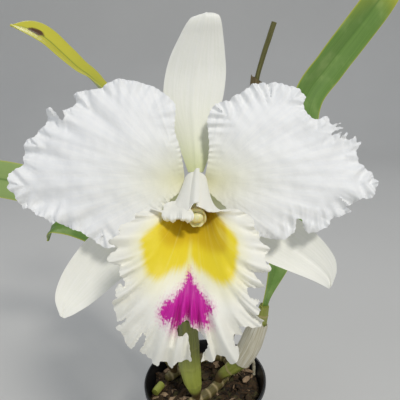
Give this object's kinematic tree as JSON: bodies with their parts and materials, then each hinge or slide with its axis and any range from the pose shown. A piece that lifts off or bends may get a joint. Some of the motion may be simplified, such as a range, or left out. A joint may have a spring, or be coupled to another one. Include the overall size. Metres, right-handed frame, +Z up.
{
  "type": "potted cattleya orchid in flower",
  "caption": "Cattleya orchid in a round plastic pot, with ribbed pseudobulbs, folded strap leaves and one large white bloom with a frilled yellow and magenta lip.",
  "frame": {"origin": "centre of the pot's underside, which rests on the table", "axes": "+Z up, -Y towards the viewer that the bloom faces, +X to that viewer's right"},
  "size_m": [0.3514, 0.2232, 0.4011],
  "materials": {
    "thin_dark_plastic": "thin, satin, slightly scuffed",
    "fir_bark": "damp broken bark chips with some moss",
    "creeping_stem": "brown-green woody stem",
    "green_pseudobulb": "smooth ribbed green skin",
    "old_pseudobulb": "grooved, dull olive-brown skin",
    "papery_sheath": "dry, veined, pale",
    "leaf": "leathery, waxy sheen",
    "green_sheath": "fresh green, smooth",
    "flower_stalk": "smooth green, ribbed near the flower",
    "pale_green_sepal": "soft matt, faint veins",
    "white_petal": "soft crystalline white, faint veins",
    "lip": "white with yellow throat and magenta blaze",
    "column": "waxy cream",
    "anther_cap": "waxy ochre",
    "dry_stalk": "dry, brown, fibrous",
    "root": "dry pale root skin"
  },
  "bodies": {
    "root": {"pot": "thin_dark_plastic", "bark_medium": "fir_bark", "rhizome": "creeping_stem", "pseudobulb_front": "green_pseudobulb", "pseudobulb_right": "green_pseudobulb", "pseudobulb_rear_right": "old_pseudobulb", "pseudobulb_rear_left": "old_pseudobulb", "pseudobulb_left": "old_pseudobulb", "sheath_right": "papery_sheath", "leaf_top_left": "leaf", "leaf_middle_left": "leaf", "leaf_lower_left": "leaf", "leaf_right": "leaf", "flower_sheath": "green_sheath", "flower_stalk": "flower_stalk", "dorsal_sepal": "pale_green_sepal", "sepal_left": "pale_green_sepal", "sepal_right": "pale_green_sepal", "petal_left": "white_petal", "petal_right": "white_petal", "lip": "lip", "column": "column", "anther_cap": "anther_cap", "old_flower_sheath": "dry_stalk", "old_flower_stalk": "dry_stalk", "cut_stub": "green_pseudobulb", "root_front": "root", "root_right": "root"}
  },
  "joints": []
}
